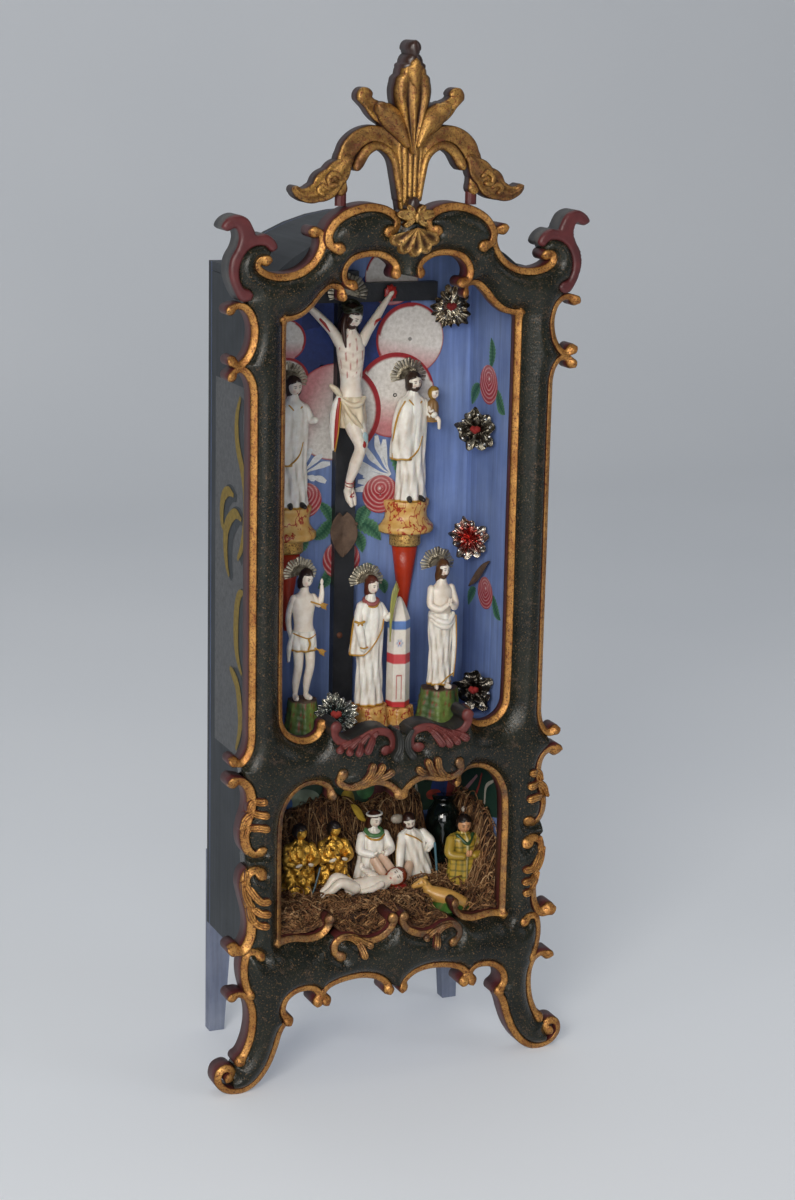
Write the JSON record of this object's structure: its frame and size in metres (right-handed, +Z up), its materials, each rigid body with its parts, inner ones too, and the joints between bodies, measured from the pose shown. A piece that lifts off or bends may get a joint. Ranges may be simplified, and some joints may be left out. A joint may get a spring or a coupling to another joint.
{
  "type": "nativity oratory",
  "caption": "Painted domestic oratory with a carved and gilded scrollwork front, an upper niche of saints below a crucifix and a lower niche with a nativity group.",
  "frame": {"origin": "on the floor, midway across the front and midway through the overall depth", "axes": "+X to the right seen from the front, +Y from front to back, +Z up"},
  "size_m": [0.2614, 0.133, 0.7025],
  "materials": {
    "dark_paint": "satin dark green-black oil paint over wood, worn",
    "gilding": "worn water gilding over red bole on carved wood",
    "red_paint": "matt dark red paint on carved wood",
    "slate_paint": "matt slate-blue paint on boards",
    "blue_paint": "matt blue paint on boards",
    "black_paint": "matt black paint on wood",
    "calcite": "waxed pale calcite with painted details",
    "ochre": "ochre paint with red veining",
    "rock_paint": "green paint with red strokes on stone",
    "halo_metal": "tarnished sheet metal",
    "tinsel": "crimped and tarnished foil",
    "dry_leaf": "dried leaf",
    "moss": "dried moss",
    "gilded_figure": "gilded stone",
    "plaid": "yellow and green painted stone",
    "lamb": "painted stone",
    "dark_glaze": "dark gloss glaze"
  },
  "bodies": {
    "case": {"apron_moulding": "gilding", "arrow_saint": "calcite", "arrow_saint_halo": "halo_metal", "arrow_saint_rock": "rock_paint", "back_panel": "blue_paint", "bearded_saint": "calcite", "bearded_saint_halo": "halo_metal", "bearded_saint_rock": "rock_paint", "bracket_left": "ochre", "bracket_right": "ochre", "bracket_saint_halo_left": "halo_metal", "bracket_saint_halo_right": "halo_metal", "bracket_saint_left": "calcite", "bracket_saint_right": "calcite", "carpenter": "calcite", "cross_arm": "black_paint", "cross_upright": "black_paint", "crucified_figure": "calcite", "crucified_figure_halo": "halo_metal", "dark_jar": "dark_glaze", "dry_leaf": "dry_leaf", "ear_left": "red_paint", "ear_right": "red_paint", "edge_moulding_left": "gilding", "edge_moulding_right": "gilding", "floor_board": "blue_paint", "front_frame": "dark_paint", "head_moulding_left": "gilding", "head_moulding_right": "gilding", "infant": "calcite", "king_left": "gilded_figure", "king_right": "gilded_figure", "lamb": "lamb", "lower_window_rim": "gilding", "mid_rail_spray": "red_paint", "moss_bed": "moss", "mother": "calcite", "palm_saint": "calcite", "palm_saint_halo": "halo_metal", "palm_saint_rock": "ochre", "rear_leg_left": "slate_paint", "rear_leg_right": "slate_paint", "roof_vault": "slate_paint", "rosette_cross_arm": "tinsel", "rosette_shelf": "tinsel", "rosette_wall_low": "tinsel", "rosette_wall_middle": "tinsel", "rosette_wall_top": "tinsel", "shelf_board": "blue_paint", "shell_cartouche": "gilding", "shepherd": "plaid", "side_panel_left": "slate_paint", "side_panel_right": "slate_paint", "tower": "calcite", "upper_window_rim_left": "gilding", "upper_window_rim_right": "gilding"},
    "crest_ornament": {"crest": "gilding", "crest_peg_left": "red_paint", "crest_peg_right": "red_paint"}
  },
  "joints": [
    {"name": "crest_lift", "type": "slide", "parent": "case", "child": "crest_ornament", "axis": [0, 0, 1], "range_m": [0, 0.045]}
  ]
}
